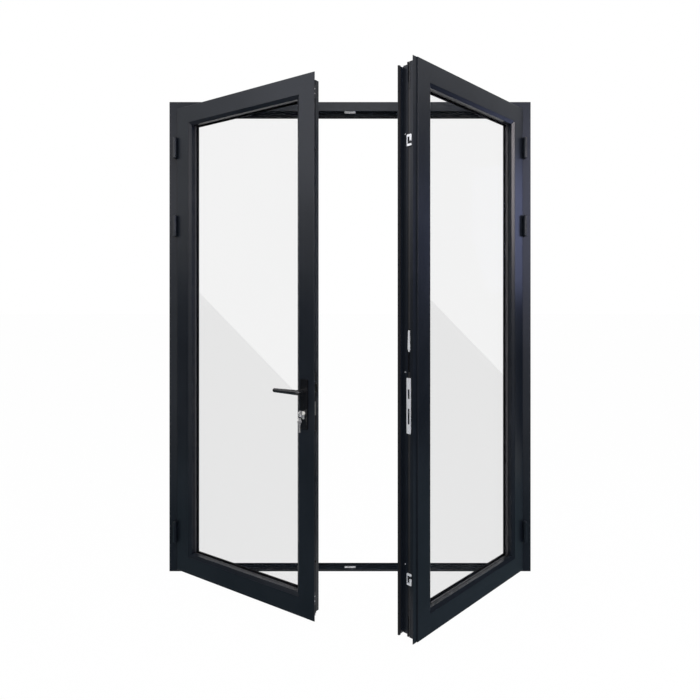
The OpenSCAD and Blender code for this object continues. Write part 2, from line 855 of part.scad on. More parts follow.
// Roller that stands out of the groove at a rod
module roller(z) {
    reach = lap + keep_room;
    translate([0, groove_v, z]) {
        bar_e(roller_stem, reach, rod_e + over);
        bar_e(roller_d, reach, reach + roller_t);
    }
}

module upper_lock_rod() {
    shoulder = case_top + rod_stroke + slide;
    color(metal) on_active() on_edge() {
        groove_rod(rod_e, rod_t, shoulder, upper_roller + rod_tail, case_top - tongue_len, shoulder);
        roller(upper_roller);
    }
}

module lower_lock_rod() {
    shoulder = case_low - rod_stroke - slide;
    color(metal) on_active() on_edge() {
        groove_rod(rod_e, rod_t, lower_roller - rod_tail, shoulder, shoulder, case_low + tongue_len);
        roller(lower_roller);
    }
}

// Plug with its cam and keyway
module cylinder_plug() {
    color(metal) on_active() on_edge() translate([spindle_e, 0, cylinder_h]) difference() {
        union() {
            bar_v(plug_d, plug_front, plug_back);
            bar_v(euro_d, groove_v - cam_t / 2, groove_v + cam_t / 2);
            span([-euro_leg / 4, groove_v - cam_t / 2, -cam_r + over],
                [euro_leg / 4, groove_v + cam_t / 2, 0]);
        }
        span([-blade_t / 2, plug_front - over, -blade_h / 2], [blade_t / 2, plug_front + blade_len, blade_h / 2]);
    }
}

// Flat key about its bow's middle, with its blade along +Y
module flat_key() {
    difference() {
        union() {
            bar_e(bow_d, -key_t / 2, key_t / 2);
            span([-key_t / 2, 0, -bow_neck], [key_t / 2, bow_d / 2 + bow_step, bow_neck]);
            span([-blade_t / 2, 0, -blade_h / 2],
                [blade_t / 2, bow_d / 2 + bow_step + blade_len, blade_h / 2]);
        }
        translate([0, -hole_off, 0]) bar_e(bow_hole, -key_t, key_t);
        for (n = [1:5]) translate([0, bow_d / 2 + bow_step + n * notch_pitch, blade_h / 2])
            rotate([45, 0, 0]) cube([2 * blade_t, notch_a, notch_a], center = true);
    }
}

module key() {
    color(metal) on_active() on_edge() translate([spindle_e, bow_v, cylinder_h]) flat_key();
}

module key_ring() {
    color(metal) on_active() on_edge() translate([spindle_e, bow_v - hole_off, ring_top - ring_r])
        rotate([90, 0, 0]) rotate_extrude() translate([ring_r, 0]) circle(d = ring_wire);
}

module spare_key() {
    color(metal) on_active() on_edge() translate([spindle_e, bow_v - hole_off, spare_hole - hole_off])
        rotate([-90, 0, 0]) flat_key();
}

module passive_hinge_stile() { color(coat) on_passive() leaf_upright(sight) sash_section(); }

module passive_meeting_stile() { color(coat) on_passive() on_edge() leaf_upright(sight) sash_section(); }

module passive_top_rail() { color(coat) on_passive() leaf_top_bar(sight) sash_section(); }

module passive_bottom_rail() { color(coat) on_passive() to_bottom() leaf_top_bar(sight) sash_section(); }

module passive_panes() { color([0.8, 0.85, 0.85, 0.3]) on_passive() leaf_panes(); }

module passive_spacer() { color(rubber) on_passive() leaf_spacer(); }

module passive_beads() { color(coat) on_passive() leaf_beads(); }

module passive_glazing_seals() { color(rubber) on_passive() leaf_glazing_seals(); }

module passive_overlap_seal() { color(rubber) on_passive() leaf_overlap_seal(); }

module passive_brush() { color(rubber) on_passive() leaf_brush(); }

module passive_cleats() { color(metal) on_passive() leaf_cleats(); }

module passive_hinges() { color(coat) on_passive() leaf_hinges(); }

// Hollow meeting profile with its hardware groove, full-height front strip and rear lip;
// behind the groove its box ends short of the frame's stop
module meeting_profile() {
    box_v = strip_v + strip_t;
    lip_v = leaf_d + seal_depth;
    floor_e = meet_e + groove_deep;
    color(coat) on_passive() on_edge() {
        span([meet_e - strip_over, strip_v, floor_gap], [flange, box_v, leaf_top]);
        difference() {
            translate([0, 0, body_low]) linear_extrude(body_top - body_low) difference() {
                translate([meet_e, box_v - over]) square([flange - meet_e, leaf_d - box_v + over]);
                translate([meet_e - over, groove_v - mouth / 2]) square([groove_deep + over, mouth]);
                translate([meet_e + groove_lip, groove_v - groove_in / 2])
                    square([groove_deep - groove_lip, groove_in]);
                translate([floor_e + wall, box_v + wall])
                    square([flange - floor_e - 2 * wall, leaf_d - box_v - 2 * wall]);
            }
            for (z = [[body_low - over, rear_low], [rear_top, body_top + over]])
                span([meet_e - over, step_v, z[0]], [flange + over, leaf_d + over, z[1]]);
        }
        span([meet_e, leaf_d - wall, rear_low], [flange, lip_v, meet_lip_top]);
        span([meet_end, lip_v, meet_lip_low], [meet_lip_end, lip_v + meet_lip_t, meet_lip_top]);
    }
}

// Seals between the meeting lip and the backs of both leaves
module meeting_seals() {
    color(rubber) on_passive() on_edge() {
        span([meet_end + over, leaf_d + seal_room, meet_lip_low],
            [meet_end + lip_over - 2 * over, leaf_d + seal_depth, meet_lip_top]);
        span([flange + 2 * over, leaf_d, meet_lip_low],
            [meet_lip_end - over, leaf_d + seal_depth, meet_lip_top]);
    }
}

// Stepped caps on both ends of the meeting profile's box, with the bolts' ways
module end_caps() {
    box_v = strip_v + strip_t;
    e0 = meet_e + slide;
    e1 = flange - slide;
    color(rubber) on_passive() on_edge() difference() {
        for (z = [[body_low - cap_t, rear_low - cap_t], [body_top, rear_top]]) {
            span([e0, box_v, z[0]], [e1, step_v + cap_t, z[0] + cap_t]);
            span([e0, step_v, min(z)], [e1, step_v + cap_t, max(z) + cap_t]);
            span([e0, step_v, z[1]], [e1, leaf_d - slide, z[1] + cap_t]);
        }
        translate([bolt_e, groove_v, 0]) cylinder(d = bolt_d + 2 * slide, h = frame_h);
    }
}

// Strike plate on the groove's lips, with a slot for the latch and one for the deadbolt
module strike_plate() {
    room = 2;
    low = (latch_mid + dead_mid - strike_h) / 2 - room;
    color(metal) on_passive() on_edge() difference() {
        translate([meet_e - strike_t, groove_v - strike_w / 2, low]) rotate([90, 0, 90])
            linear_extrude(strike_t) round_rect(strike_w, strike_h, corner_r);
        for (b = [[latch_mid, latch_h], [dead_mid, dead_h]])
            span([meet_e - strike_t - over, groove_v - latch_t / 2 - keep_room, b[0] - b[1] / 2 - room],
                [meet_e + over, groove_v + latch_t / 2 + keep_room, b[0] + b[1] / 2 + room]);
        for (z = [low + strike_w / 2, low + strike_h - strike_w / 2])
            translate([0, groove_v, z]) bar_e(screw_d, meet_e - strike_t - over, meet_e + over);
    }
}

// One lock keep: the roller comes in at the mouth and slides behind the hook
module lock_keep(locked, way) {
    room = roller_d / 2 + keep_room;
    middle = locked - way * rod_stroke / 2;
    difference() {
        translate([meet_e - keep_t, keep_mid - keep_w / 2, middle - keep_h / 2]) rotate([90, 0, 90])
            linear_extrude(keep_t) round_rect(keep_w, keep_h, corner_r);
        span([meet_e - keep_t - over, groove_v - room, middle - rod_stroke / 2 - room],
            [meet_e + over, groove_v + room, middle + rod_stroke / 2 + room]);
        span([meet_e - keep_t - over, groove_v - keep_w, locked - way * rod_stroke - room],
            [meet_e + over, groove_v, locked - way * rod_stroke + room]);
    }
}

module lock_keeps() {
    color(metal) on_passive() on_edge() {
        lock_keep(upper_roller, 1);
        lock_keep(lower_roller, -1);
    }
}

// Case in the groove with the ears that carry the finger lever's pin
module finger_case() {
    e0 = meet_e + groove_lip + slide;
    window = finger_w / 2 + slide;
    ear_in = finger_neck / 2 + slide;
    ear_out = mouth / 2 - slide;
    color(metal) on_passive() on_edge() difference() {
        union() {
            difference() {
                span([e0, groove_v - rod_w / 2, finger_low - finger_end],
                    [e0 + rod_t, groove_v + rod_w / 2, finger_top + finger_end]);
                span([e0 - over, groove_v - window, finger_low],
                    [e0 + rod_t + over, groove_v + window, finger_top]);
            }
            for (s = [-1, 1]) translate([finger_e, groove_v, finger_h]) {
                bar_v(2 * ear_r, min(s * ear_in, s * ear_out), max(s * ear_in, s * ear_out));
                span([0, min(s * ear_in, s * rod_w / 2), -ear_r],
                    [e0 + rod_t - finger_e, max(s * ear_in, s * rod_w / 2), ear_r]);
            }
        }
        translate([finger_e, 0, finger_h])
            bar_v(finger_pin + running, groove_v - ear_out - over, groove_v + ear_out + over);
        for (z = [[finger_low - finger_end - over, finger_low + over],
                [finger_top - over, finger_top + finger_end + over]])
            span([e0 - over, groove_v - tongue_w / 2 - slide, z[0]],
                [e0 + finger_tongue + slide, groove_v + tongue_w / 2 + slide, z[1]]);
    }
}

// Finger lever, folded up into the groove, that tapers to its tip
module finger_lever() {
    root = finger_w / 2;
    tip = finger_tip / 2;
    foot = finger_hub / 2 + over;
    pin_half = mouth / 2 - slide;
    color(metal) on_passive() on_edge() {
        translate([finger_e - finger_hub / 2, groove_v, finger_h]) rotate([90, 0, 90])
            linear_extrude(finger_t) {
                polygon([[-root, foot], [root, foot], [tip, finger_len - tip], [-tip, finger_len - tip]]);
                translate([-finger_neck / 2, 0]) square([finger_neck, foot + over]);
                translate([0, finger_len - tip]) circle(r = tip);
            }
        translate([finger_e, groove_v, finger_h]) {
            bar_v(finger_hub, -finger_neck / 2, finger_neck / 2);
            bar_v(finger_pin, -pin_half, pin_half);
        }
    }
}

// Bolt rod above the finger lever, drawn back
module top_bolt() {
    shoulder = finger_top + finger_end + slide;
    e0 = meet_e + groove_lip + slide;
    tip = body_top;
    root = tip - 3 * bolt_stroke;
    color(metal) on_passive() on_edge() {
        groove_rod(e0, finger_tongue, shoulder, root, shoulder - finger_end, shoulder + over);
        translate([bolt_e, groove_v, root - bolt_stroke]) cylinder(d = bolt_d, h = tip - root + bolt_stroke);
    }
}

// Bolt rod below the finger lever, drawn back, with a window for the latch and the deadbolt
module bottom_bolt() {
    shoulder = finger_low - finger_end - slide;
    e0 = meet_e + groove_lip + slide;
    tip = body_low;
    root = tip + 3 * bolt_stroke;
    window = latch_t / 2 + 2 * keep_room;
    color(metal) on_passive() on_edge() difference() {
        union() {
            groove_rod(e0, finger_tongue, root, shoulder, shoulder - over, shoulder + finger_end);
            translate([bolt_e, groove_v, tip]) cylinder(d = bolt_d, h = root - tip + bolt_stroke);
        }
        span([e0 - over, groove_v - window, dead_mid - dead_h / 2 - 2 * over],
            [e0 + rod_t + over, groove_v + window, latch_mid + latch_h / 2 + bolt_stroke + over]);
    }
}

left_jamb();
right_jamb();
frame_head();
threshold();
stop_seal();
frame_cleats();
left_frame_hinges();
right_frame_hinges();
hinge_pins();
head_keep();
threshold_keep();
active_hinge_stile();
active_lock_stile();
active_top_rail();
active_bottom_rail();
active_panes();
active_spacer();
active_beads();
active_glazing_seals();
active_overlap_seal();
active_brush();
active_cleats();
active_hinges();
lock_case();
lock_faceplate();
cylinder_body();
handle_plate();
rosette();
lever();
spindle();
latch_bolt();
deadbolt();
upper_lock_rod();
lower_lock_rod();
cylinder_plug();
key();
key_ring();
spare_key();
passive_hinge_stile();
passive_meeting_stile();
passive_top_rail();
passive_bottom_rail();
passive_panes();
passive_spacer();
passive_beads();
passive_glazing_seals();
passive_overlap_seal();
passive_brush();
passive_cleats();
passive_hinges();
meeting_profile();
meeting_seals();
end_caps();
strike_plate();
lock_keeps();
finger_case();
finger_lever();
top_bolt();
bottom_bolt();
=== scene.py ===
import bmesh
import bpy
import json
import math
from mathutils import Matrix, Vector


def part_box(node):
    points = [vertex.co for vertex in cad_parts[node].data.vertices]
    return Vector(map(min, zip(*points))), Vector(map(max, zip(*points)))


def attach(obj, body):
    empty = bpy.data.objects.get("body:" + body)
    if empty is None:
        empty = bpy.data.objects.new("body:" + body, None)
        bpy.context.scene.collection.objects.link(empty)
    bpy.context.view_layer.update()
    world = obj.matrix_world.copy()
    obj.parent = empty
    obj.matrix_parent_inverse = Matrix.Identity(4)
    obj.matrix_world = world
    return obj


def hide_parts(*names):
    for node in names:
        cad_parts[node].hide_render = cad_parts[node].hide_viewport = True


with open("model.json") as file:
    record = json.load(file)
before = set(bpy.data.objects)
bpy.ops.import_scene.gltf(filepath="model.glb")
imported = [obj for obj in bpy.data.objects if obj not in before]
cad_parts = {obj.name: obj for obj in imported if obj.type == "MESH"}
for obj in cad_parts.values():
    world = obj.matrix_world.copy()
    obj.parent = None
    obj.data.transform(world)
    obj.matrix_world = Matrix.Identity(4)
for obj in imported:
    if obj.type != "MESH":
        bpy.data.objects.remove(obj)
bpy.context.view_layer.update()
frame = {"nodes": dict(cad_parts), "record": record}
nodes = frame["nodes"]
print("frame loaded:", len(nodes), "nodes")

doors = {
    "activeOpen": math.radians(33.8),
    "passiveOpen": math.radians(46.7),
    "pinX": 0.814,
    "pinY": -0.0489,
    "pinOut": 0.004,
    "pinFront": 0.0094,
    "leafWidth": 0.8045,
    "grooveDepth": 0.027,
    "hingeHeights": (0.190, 1.614, 1.977),
}


def leafPlace(opening, u, v, z):  # u from the hinge edge, v back from the face
    turn = Matrix.Rotation(-opening, 4, "Z")
    place = turn @ Vector((u + doors["pinOut"], v + doors["pinFront"], z))
    return place + Vector((-doors["pinX"], doors["pinY"], 0))


def onActive(u, v, z):
    return leafPlace(doors["activeOpen"], u, v, z)


def onPassive(u, v, z):  # hung on the other side
    place = leafPlace(doors["passiveOpen"], u, v, z)
    return Vector((-place.x, place.y, place.z))


def activeEdge(e, v, z):  # e inwards from the free edge
    return onActive(doors["leafWidth"] - e, v, z)


def passiveEdge(e, v, z):
    return onPassive(doors["leafWidth"] - e, v, z)


def newMaterial(name):
    mat = bpy.data.materials.new(name)
    mat.use_nodes = True
    tree = mat.node_tree
    tree.nodes.clear()
    return mat, tree, tree.nodes.new("ShaderNodeOutputMaterial")


def addShader(tree, out):
    shader = tree.nodes.new("ShaderNodeBsdfPrincipled")
    tree.links.new(shader.outputs["BSDF"], out.inputs["Surface"])
    return shader


def objectPlace(tree):
    return tree.nodes.new("ShaderNodeTexCoord").outputs["Object"]


def addNoise(tree, scale, detail=3.0, stretch=(1, 1, 1)):
    mapping = tree.nodes.new("ShaderNodeMapping")
    mapping.inputs["Scale"].default_value = stretch
    noise = tree.nodes.new("ShaderNodeTexNoise")
    noise.inputs["Scale"].default_value = scale
    noise.inputs["Detail"].default_value = detail
    tree.links.new(objectPlace(tree), mapping.inputs["Vector"])
    tree.links.new(mapping.outputs["Vector"], noise.inputs["Vector"])
    return noise.outputs["Fac"]


def addRamp(tree, value, stops):
    ramp = tree.nodes.new("ShaderNodeValToRGB")
    for point, (place, colour) in zip(ramp.color_ramp.elements, stops):
        point.position = place
        point.color = (*colour, 1)
    tree.links.new(value, ramp.inputs["Fac"])
    return ramp.outputs["Color"]


def addRange(tree, value, low, high):
    node = tree.nodes.new("ShaderNodeMapRange")
    node.inputs["To Min"].default_value = low
    node.inputs["To Max"].default_value = high
    tree.links.new(value, node.inputs["Value"])
    return node.outputs["Result"]


def addBump(tree, shader, height, strength, distance):
    bump = tree.nodes.new("ShaderNodeBump")
    bump.inputs["Strength"].default_value = strength
    bump.inputs["Distance"].default_value = distance
    tree.links.new(height, bump.inputs["Height"])
    tree.links.new(bump.outputs["Normal"], shader.inputs["Normal"])


def mathNode(tree, operation, a, b):
    node = tree.nodes.new("ShaderNodeMath")
    node.operation = operation
    for socket, value in zip(node.inputs, (a, b)):
        if isinstance(value, (int, float)):
            socket.default_value = value
        else:
            tree.links.new(value, socket)
    return node.outputs[0]


def tintAndRoughness(tree, shader, value, settings, low=0.3, high=0.7):  # both follow one pattern
    tint = addRamp(tree, value, [(low, settings["dark"]), (high, settings["light"])])
    tree.links.new(tint, shader.inputs["Base Color"])
    tree.links.new(addRange(tree, value, *settings["roughness"]), shader.inputs["Roughness"])


powderCoat = {
    "dark": (0.0048, 0.0068, 0.0100),
    "light": (0.0078, 0.0102, 0.0142),
    "roughness": (0.27, 0.36),
    "specular": 0.19,
    "cloud": 5.0,
    "grain": 2600.0,
    "peel": 620.0,
    "bump": 0.10,
    "bumpHeight": 0.0002,
}

satinHandle = dict(
    powderCoat,
    dark=(0.0040, 0.0042, 0.0048),
    light=(0.0066, 0.0068, 0.0076),
    roughness=(0.13, 0.19),
    specular=0.50,
    grain=3800.0,
    peel=900.0,
)

dullFaceplate = dict(satinHandle, roughness=(0.40, 0.52), specular=0.06)

darkAnodised = dict(
    powderCoat,
    dark=(0.010, 0.010, 0.011),
    light=(0.022, 0.022, 0.023),
    roughness=(0.34, 0.46),
    specular=0.25,
    grain=5200.0,
    peel=1600.0,
)


def makePowderCoat(name, settings):
    mat, tree, out = newMaterial(name)
    shader = addShader(tree, out)
    tintAndRoughness(tree, shader, addNoise(tree, settings["cloud"]), settings)
    shader.inputs["Specular IOR Level"].default_value = settings["specular"]
    grain = addNoise(tree, settings["grain"], 2.0)
    peel = addNoise(tree, settings["peel"], 1.0)  # the coat's slight orange peel
    addBump(tree, shader, mathNode(tree, "ADD", grain, peel), settings["bump"], settings["bumpHeight"])
    return mat


silverMetal = {
    "dark": (0.55, 0.555, 0.56),
    "light": (0.65, 0.655, 0.66),
    "roughness": (0.34, 0.46),
    "metallic": 0.30,
    "streak": 260.0,
    "stretch": (1.0, 1.0, 0.06),
    "bump": 0.05,
    "bumpHeight": 0.0002,
}

nickelPlate = dict(
    silverMetal,
    dark=(0.60, 0.59, 0.56),
    light=(0.80, 0.79, 0.76),
    roughness=(0.15, 0.28),
    metallic=0.72,
    stretch=(1.0, 1.0, 0.3),
)

millAluminium = dict(
    silverMetal,
    dark=(0.42, 0.42, 0.42),
    light=(0.58, 0.58, 0.58),
    roughness=(0.36, 0.52),
    metallic=1.0,
    stretch=(0.05, 1.0, 1.0),
)


def makeSilver(name, settings):
    mat, tree, out = newMaterial(name)
    shader = addShader(tree, out)
    streak = addNoise(tree, settings["streak"], 4.0, settings["stretch"])
    tintAndRoughness(tree, shader, streak, settings)
    shader.inputs["Metallic"].default_value = settings["metallic"]
    addBump(tree, shader, streak, settings["bump"], settings["bumpHeight"])
    return mat


zincPlate = {
    "dark": (0.10, 0.10, 0.097),
    "light": (0.17, 0.17, 0.165),
    "roughness": (0.38, 0.54),
    "spangle": 190.0,
}


def makeZinc(name, settings):
    mat, tree, out = newMaterial(name)
    shader = addShader(tree, out)
    cells = tree.nodes.new("ShaderNodeTexVoronoi")
    cells.inputs["Scale"].default_value = settings["spangle"]
    tree.links.new(objectPlace(tree), cells.inputs["Vector"])
    tintAndRoughness(tree, shader, cells.outputs["Distance"], settings, 0.0, 0.8)
    shader.inputs["Metallic"].default_value = 1.0
    return mat


sealRubber = {
    "dark": (0.006, 0.006, 0.0065),
    "light": (0.012, 0.012, 0.0125),
    "roughness": (0.62, 0.78),
    "specular": 0.12,
    "grain": 420.0,
    "bump": 0.15,
    "bumpHeight": 0.0004,
}

endCapPlastic = dict(
    sealRubber,
    dark=(0.010, 0.010, 0.011),
    light=(0.016, 0.016, 0.017),
    roughness=(0.48, 0.60),
    specular=0.3,
    grain=800.0,
    bump=0.1,
)

spacerBar = dict(
    sealRubber,
    dark=(0.030, 0.030, 0.032),
    light=(0.055, 0.055, 0.058),
    roughness=(0.40, 0.55),
    specular=0.3,
    grain=700.0,
    bump=0.08,
)

brushPile = dict(
    sealRubber,
    dark=(0.010, 0.010, 0.010),
    light=(0.028, 0.028, 0.029),
    roughness=(0.70, 0.85),
    specular=0.2,
    grain=900.0,
    bump=0.2,
)


def makeDull(name, settings):
    mat, tree, out = newMaterial(name)
    shader = addShader(tree, out)
    grain = addNoise(tree, settings["grain"], 4.0)
    tintAndRoughness(tree, shader, grain, settings)
    shader.inputs["Specular IOR Level"].default_value = settings["specular"]
    addBump(tree, shader, grain, settings["bump"], settings["bumpHeight"])
    return mat


paneGlass = {
    "tint": (0.948, 0.948, 0.948),
    "edge": (0.942, 0.943, 0.943),
    "drift": 0.9,
    "bend": 1.05,
}


def makeGlass(name, settings):
    mat, tree, out = newMaterial(name)
    shader = addShader(tree, out)
    drift = addNoise(tree, settings["drift"], 1.0)  # faint change of tint across a pane
    tint = addRamp(tree, drift, [(0.25, settings["edge"]), (0.75, settings["tint"])])
    tree.links.new(tint, shader.inputs["Base Color"])
    shader.inputs["Roughness"].default_value = 0.0
    shader.inputs["IOR"].default_value = settings["bend"]
    shader.inputs["Transmission Weight"].default_value = 1.0
    clear = tree.nodes.new("ShaderNodeBsdfTransparent")  # lets light through, so panes cast no dark shadow
    ray = tree.nodes.new("ShaderNodeLightPath")
    mix = tree.nodes.new("ShaderNodeMixShader")
    tree.links.new(tint, clear.inputs["Color"])
    tree.links.new(ray.outputs["Is Shadow Ray"], mix.inputs["Fac"])
    tree.links.new(shader.outputs["BSDF"], mix.inputs[1])
    tree.links.new(clear.outputs["BSDF"], mix.inputs[2])
    tree.links.new(mix.outputs["Shader"], out.inputs["Surface"])
    return mat


finishes = {
    "coat": makePowderCoat("powderCoat", powderCoat),
    "handle": makePowderCoat("satinHandle", satinHandle),
    "rod": makePowderCoat("darkAnodised", darkAnodised),
    "rubber": makeDull("sealRubber", sealRubber),
    "glass": makeGlass("paneGlass", paneGlass),
    "spacer": makeDull("spacerBar", spacerBar),
    "brush": makeDull("brushPile", brushPile),
    "caps": makeDull("endCapPlastic", endCapPlastic),
    "inner_metal": makeZinc("zincPlate", zincPlate),
    "cleat": makeSilver("millAluminium", millAluminium),
    "steel": makeSilver("silverMetal", silverMetal),
    "nickel": makeSilver("nickelPlate", nickelPlate),
}

for part in frame["record"]["subparts"]:
    piece = nodes[part["node"]]
    piece.data.materials.clear()
    piece.data.materials.append(finishes[part["material_slot"]])
faceplate = nodes["lock_faceplate"]  # duller than the handle, whose slot it shares
faceplate.data.materials[0] = makePowderCoat("dullFaceplate", dullFaceplate)


def newPiece(name, mesh):
    piece = bpy.data.objects.new(name, mesh)
    bpy.context.collection.objects.link(piece)
    return piece


def newMesh(name, verts, faces):
    mesh = bpy.data.meshes.new(name)
    mesh.from_pydata([tuple(vert) for vert in verts], [], faces)
    return mesh


def pointCloud(name, places, directions=()):
    mesh = newMesh(name, places, [])
    if directions:
        facing = mesh.attributes.new("facing", "FLOAT_VECTOR", "POINT")
        for index, direction in enumerate(directions):
            facing.data[index].vector = direction
    return newPiece(name, mesh)


def newTree(name, sizes):
    tree = bpy.data.node_groups.new(name, "GeometryNodeTree")
    tree.interface.new_socket("Geometry", in_out="INPUT", socket_type="NodeSocketGeometry")
    for label, kind, value in sizes:
        socket = tree.interface.new_socket(label, in_out="INPUT", socket_type=kind)
        if value is not None:
            socket.default_value = value
    tree.interface.new_socket("Geometry", in_out="OUTPUT", socket_type="NodeSocketGeometry")
    return tree, tree.nodes.new("NodeGroupInput"), tree.nodes.new("NodeGroupOutput")


def setOnPoints(tree, inlet, outlet, shape, rotation):
    link = tree.links.new
    place = tree.nodes.new("GeometryNodeInstanceOnPoints")
    link(inlet.outputs["Geometry"], place.inputs["Points"])
    link(shape, place.inputs["Instance"])
    link(rotation, place.inputs["Rotation"])
    real = tree.nodes.new("GeometryNodeRealizeInstances")
    finish = tree.nodes.new("GeometryNodeSetMaterial")
    link(place.outputs["Instances"], real.inputs["Geometry"])
    link(real.outputs["Geometry"], finish.inputs["Geometry"])
    link(inlet.outputs["Finish"], finish.inputs["Material"])
    link(finish.outputs["Geometry"], outlet.inputs["Geometry"])


def bakeTree(piece, tree, values):
    modifier = piece.modifiers.new(tree.name, "NODES")
    modifier.node_group = tree
    names = {item.name: item.identifier for item in tree.interface.items_tree if item.in_out == "INPUT"}
    for label, value in values.items():
        modifier[names[label]] = value
    graph = bpy.context.evaluated_depsgraph_get()
    baked = bpy.data.meshes.new_from_object(piece.evaluated_get(graph))
    piece.modifiers.remove(modifier)
    piece.data = baked


screws = {
    "headRadius": 0.0036,
    "headHeight": 0.0016,
    "recess": 0.0011,
    "proud": 0.0002,
    "sides": 28,
    "topShare": 0.86,  # these three are shares of the head's radius
    "armLength": 1.15,
    "armWidth": 0.26,
}


def makeScrewTree():
    tree, inlet, outlet = newTree("screwHeads", [
        ("Head Radius", "NodeSocketFloat", screws["headRadius"]),
        ("Head Height", "NodeSocketFloat", screws["headHeight"]),
        ("Recess", "NodeSocketFloat", screws["recess"]),
        ("Finish", "NodeSocketMaterial", None),
    ])
    link = tree.links.new
    radius = inlet.outputs["Head Radius"]
    head = tree.nodes.new("GeometryNodeMeshCone")
    head.inputs["Vertices"].default_value = screws["sides"]
    link(mathNode(tree, "MULTIPLY", radius, screws["topShare"]), head.inputs["Radius Top"])
    link(radius, head.inputs["Radius Bottom"])
    link(inlet.outputs["Head Height"], head.inputs["Depth"])
    cut = tree.nodes.new("GeometryNodeMeshBoolean")
    cut.operation = "DIFFERENCE"
    cut.solver = "EXACT"
    link(head.outputs["Mesh"], cut.inputs["Mesh 1"])
    for turned in (False, True):  # the two arms of the cross recess
        arm = tree.nodes.new("GeometryNodeMeshCube")
        size = tree.nodes.new("ShaderNodeCombineXYZ")
        long = mathNode(tree, "MULTIPLY", radius, screws["armLength"])
        slim = mathNode(tree, "MULTIPLY", radius, screws["armWidth"])
        link(slim if turned else long, size.inputs["X"])
        link(long if turned else slim, size.inputs["Y"])
        link(mathNode(tree, "MULTIPLY", inlet.outputs["Recess"], 2.0), size.inputs["Z"])
        link(size.outputs["Vector"], arm.inputs["Size"])
        lift = tree.nodes.new("GeometryNodeTransform")
        rise = tree.nodes.new("ShaderNodeCombineXYZ")
        link(inlet.outputs["Head Height"], rise.inputs["Z"])
        link(arm.outputs["Mesh"], lift.inputs["Geometry"])
        link(rise.outputs["Vector"], lift.inputs["Translation"])
        link(lift.outputs["Geometry"], cut.inputs["Mesh 2"])
    facing = tree.nodes.new("GeometryNodeInputNamedAttribute")
    facing.data_type = "FLOAT_VECTOR"
    facing.inputs["Name"].default_value = "facing"
    align = tree.nodes.new("FunctionNodeAlignRotationToVector")
    align.axis = "Z"
    link(facing.outputs["Attribute"], align.inputs["Vector"])
    setOnPoints(tree, inlet, outlet, cut.outputs["Mesh"], align.outputs["Rotation"])
    return tree


screwTree = makeScrewTree()


def screwSet(name, body, spots, slot, size=1.0):
    sunk = screws["headHeight"] * size - screws["proud"]
    places = [place - facing * sunk for place, facing in spots]
    piece = pointCloud(name, places, [facing for place, facing in spots])
    bakeTree(piece, screwTree, {
        "Head Radius": screws["headRadius"] * size,
        "Head Height": screws["headHeight"] * size,
        "Recess": screws["recess"] * size,
        "Finish": finishes[slot],
    })
    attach(piece, body)


rodGuides = {
    "face": 0.0186,
    "floor": 0.0268,
    "width": 0.0113,
    "height": 0.052,
    "round": 0.0009,
    "middles": (0.085, 2.0945),
    "screwStep": 0.0096,
    "screwSize": 1.1,
}

screwPlaces = {
    "strikeFace": -0.0205,  # faces are measured inwards from the free or hinge edge
    "strikeHeights": (0.785, 0.971),
    "lockFace": 0.016,
    "lockHeights": (0.7505, 0.9755),
    "meetingFace": -0.018,
    "meetingDepth": 0.044,
    "meetingHeights": (0.292, 1.001, 1.880),
    "meetingSize": 0.8,
    "keepReach": 0.020,
    "headKeep": (-0.0125, 2.150),
    "thresholdKeep": (-0.0145, 0.012),
    "jambFace": 0.8006,
    "jambDepth": -0.0125,
    "hingeFace": 0.0166,
    "hingeRise": 0.032,
}

activeOut = (activeEdge(0, 0, 0) - activeEdge(1, 0, 0)).normalized()  # out of the leaf's free edge
passiveOut = (passiveEdge(0, 0, 0) - passiveEdge(1, 0, 0)).normalized()
activeHingeOut = (onActive(0, 0, 0) - onActive(1, 0, 0)).normalized()  # out of its hinge edge
passiveHingeOut = (onPassive(0, 0, 0) - onPassive(1, 0, 0)).normalized()
up, down = Vector((0, 0, 1)), Vector((0, 0, -1))
depth = doors["grooveDepth"]
sides = (-1, 1)
hingeRows = [height + side * screwPlaces["hingeRise"] for height in doors["hingeHeights"] for side in sides]
guideRows = [middle + side * rodGuides["screwStep"] for middle in rodGuides["middles"] for side in sides]

screwSet("strikeScrews", "passive_leaf",
         [(passiveEdge(screwPlaces["strikeFace"], depth, z), passiveOut) for z in screwPlaces["strikeHeights"]],
         "steel")
screwSet("faceplateScrews", "active_leaf",
         [(activeEdge(screwPlaces["lockFace"], depth, z), activeOut) for z in screwPlaces["lockHeights"]],
         "rod")
screwSet("rodGuideScrews", "active_leaf",
         [(activeEdge(rodGuides["face"], depth, z), activeOut) for z in guideRows],
         "steel", rodGuides["screwSize"])
screwSet("meetingScrews", "passive_leaf",
         [(passiveEdge(screwPlaces["meetingFace"], screwPlaces["meetingDepth"], z), passiveOut)
          for z in screwPlaces["meetingHeights"]],
         "steel", screwPlaces["meetingSize"])
screwSet("keepScrews", "frame",
         [(Vector((side * screwPlaces["keepReach"], *screwPlaces[keep])), facing)
          for keep, facing in (("headKeep", down), ("thresholdKeep", up)) for side in sides],
         "steel")
screwSet("frameHingeScrews", "frame",
         [(Vector((side * screwPlaces["jambFace"], screwPlaces["jambDepth"], z)), Vector((-side, 0, 0)))
          for side in sides for z in hingeRows],
         "coat")
screwSet("activeHingeScrews", "active_leaf",
         [(onActive(screwPlaces["hingeFace"], depth, z), activeHingeOut) for z in hingeRows],
         "coat")
screwSet("passiveHingeScrews", "passive_leaf",
         [(onPassive(screwPlaces["hingeFace"], depth, z), passiveHingeOut) for z in hingeRows],
         "coat")
print("screws placed")


